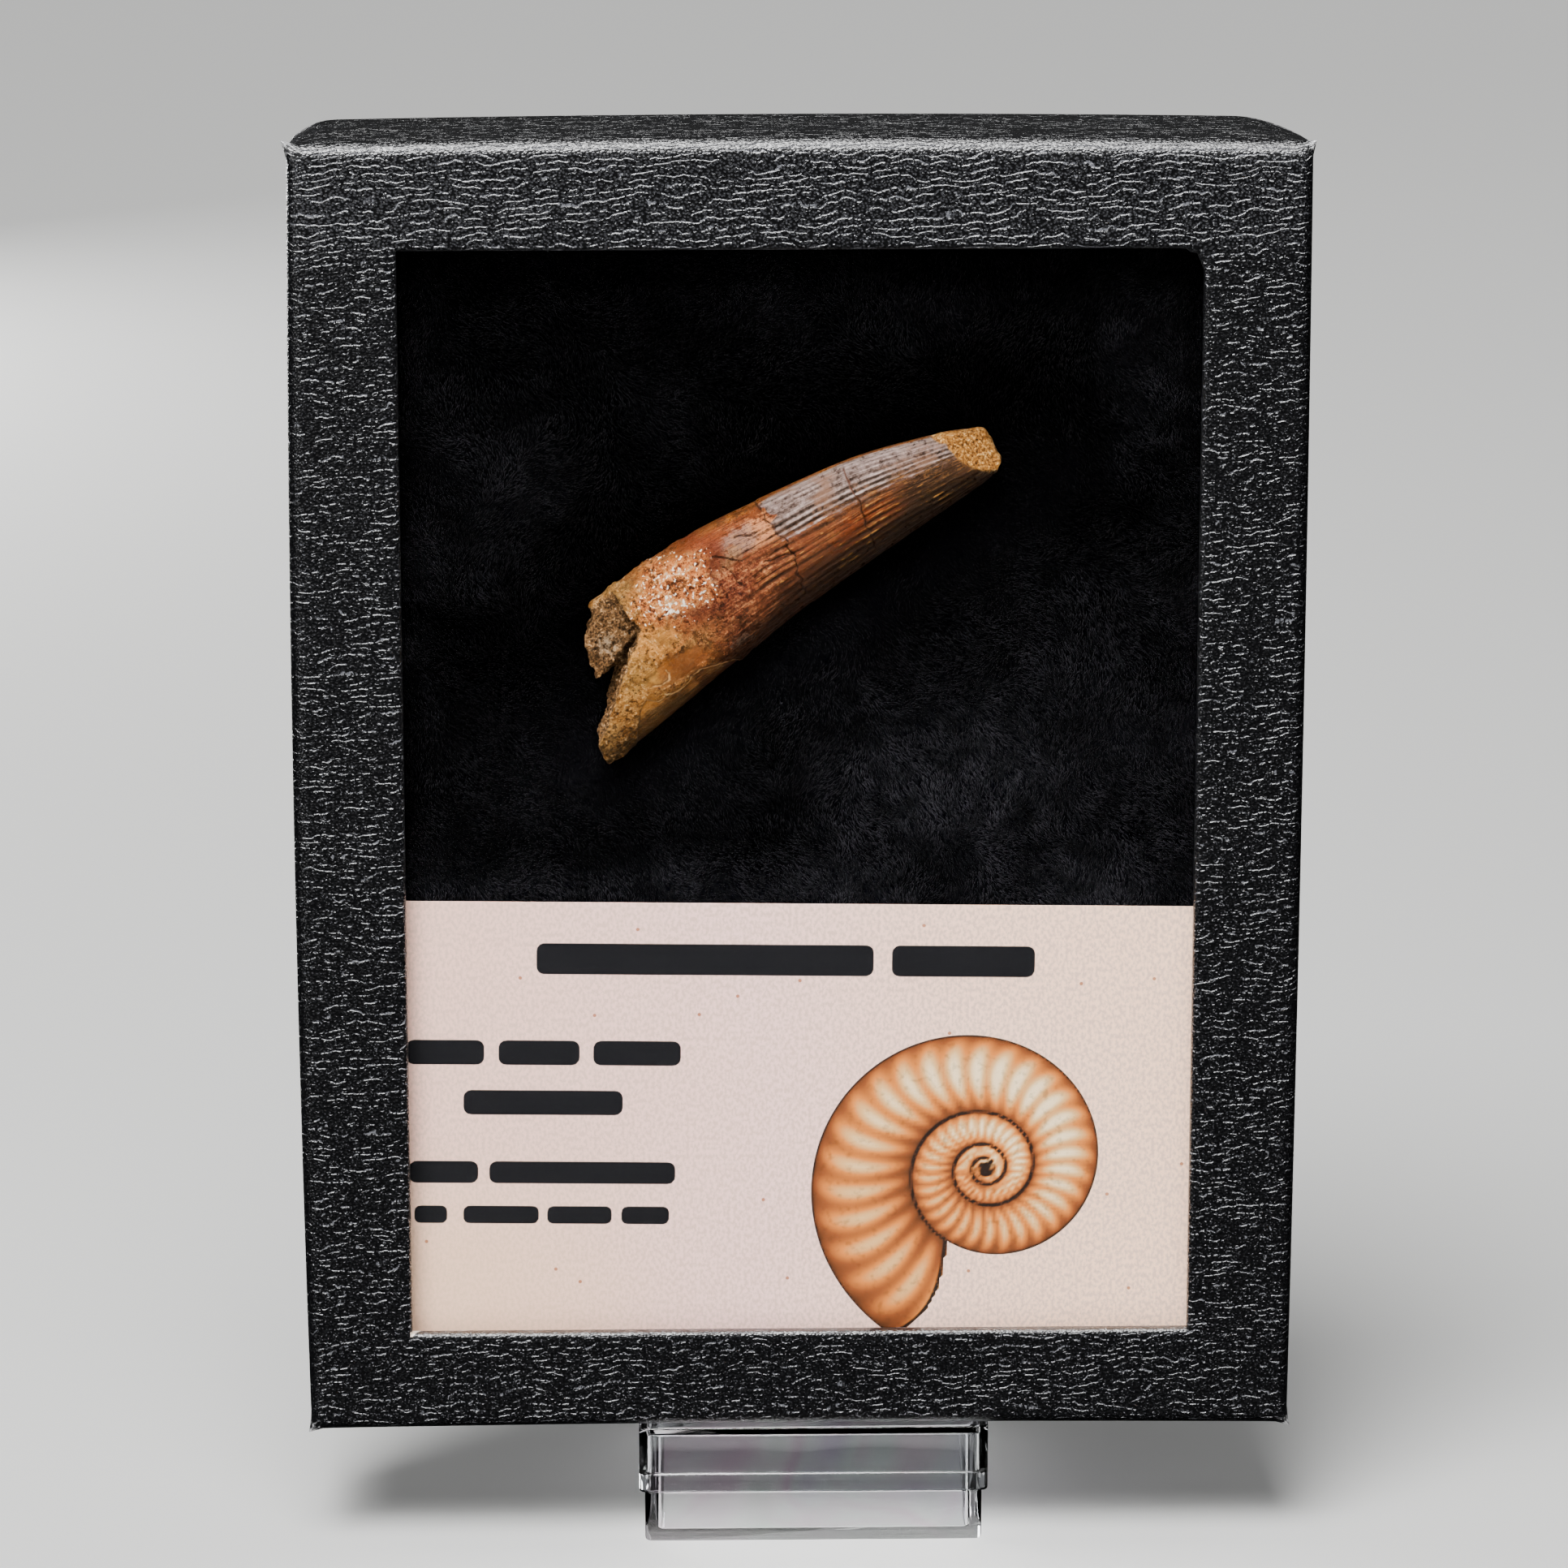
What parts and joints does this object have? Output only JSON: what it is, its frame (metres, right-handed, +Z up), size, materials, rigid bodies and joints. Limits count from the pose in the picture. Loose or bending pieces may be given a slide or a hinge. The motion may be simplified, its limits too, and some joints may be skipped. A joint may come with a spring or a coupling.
{
  "type": "framed fossil tooth",
  "caption": "Fossil tooth on black plush with a printed card, behind glass in a black leather-grained display case that stands upright on a clear riser box.",
  "frame": {"origin": "on the floor, under the middle of the object's box", "axes": "+Z up, the window faces -Y, +X to the right as seen through the window"},
  "size_m": [0.1536, 0.0546, 0.223],
  "materials": {
    "grained_paper": "glossy black paper embossed with a leather grain",
    "window_glass": "clear flat glass",
    "tray_paper": "matte black paper",
    "wadding": "loose white fibre",
    "plush": "black short pile",
    "fossil": "glossy brown enamel, rough ochre root",
    "card": "satin printed card",
    "clear_plastic": "clear, slightly scratched"
  },
  "bodies": {
    "root": {"lid_frame": "grained_paper", "glass_pane": "window_glass", "base_tray": "tray_paper", "fibre_wadding": "wadding", "velvet_lining": "plush", "spinosaurus_tooth": "fossil", "label_card": "card", "riser_lid": "clear_plastic", "riser_tray": "clear_plastic"}
  },
  "joints": []
}
